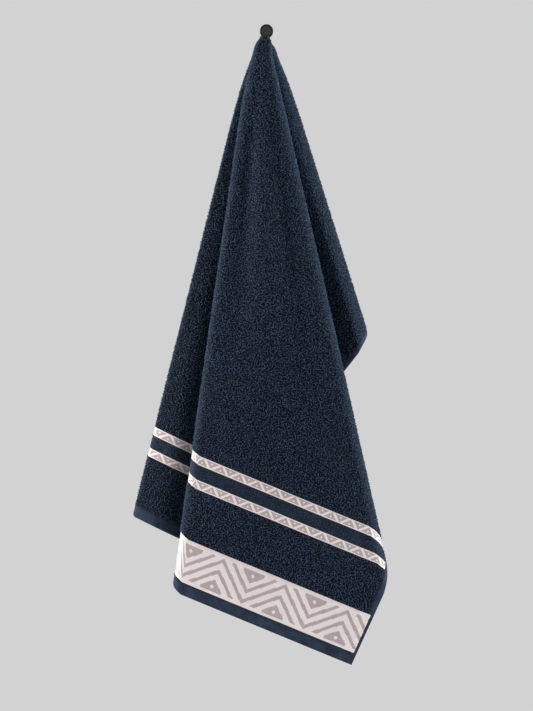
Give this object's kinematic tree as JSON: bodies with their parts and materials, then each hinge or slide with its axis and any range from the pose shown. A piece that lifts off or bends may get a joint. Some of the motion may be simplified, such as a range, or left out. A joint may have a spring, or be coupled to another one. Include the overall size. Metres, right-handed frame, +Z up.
{
  "type": "hand towel hung on a wall hook",
  "caption": "Terry hand towel hung by its middle from a small round wall hook, in long pleats, with a woven geometric band and striped borders.",
  "frame": {"origin": "centre of the hook's flat back face, on the wall", "axes": "+Z up, +Y into the wall, +X to the right seen from the front; the towel hangs towards -Y"},
  "size_m": [0.2256, 0.0869, 0.5691],
  "materials": {
    "terry": "navy cotton terry with flat woven hems and a pale patterned band",
    "hook_metal": "charcoal satin"
  },
  "bodies": {
    "root": {"towel": "terry", "wall_hook": "hook_metal"}
  },
  "joints": []
}
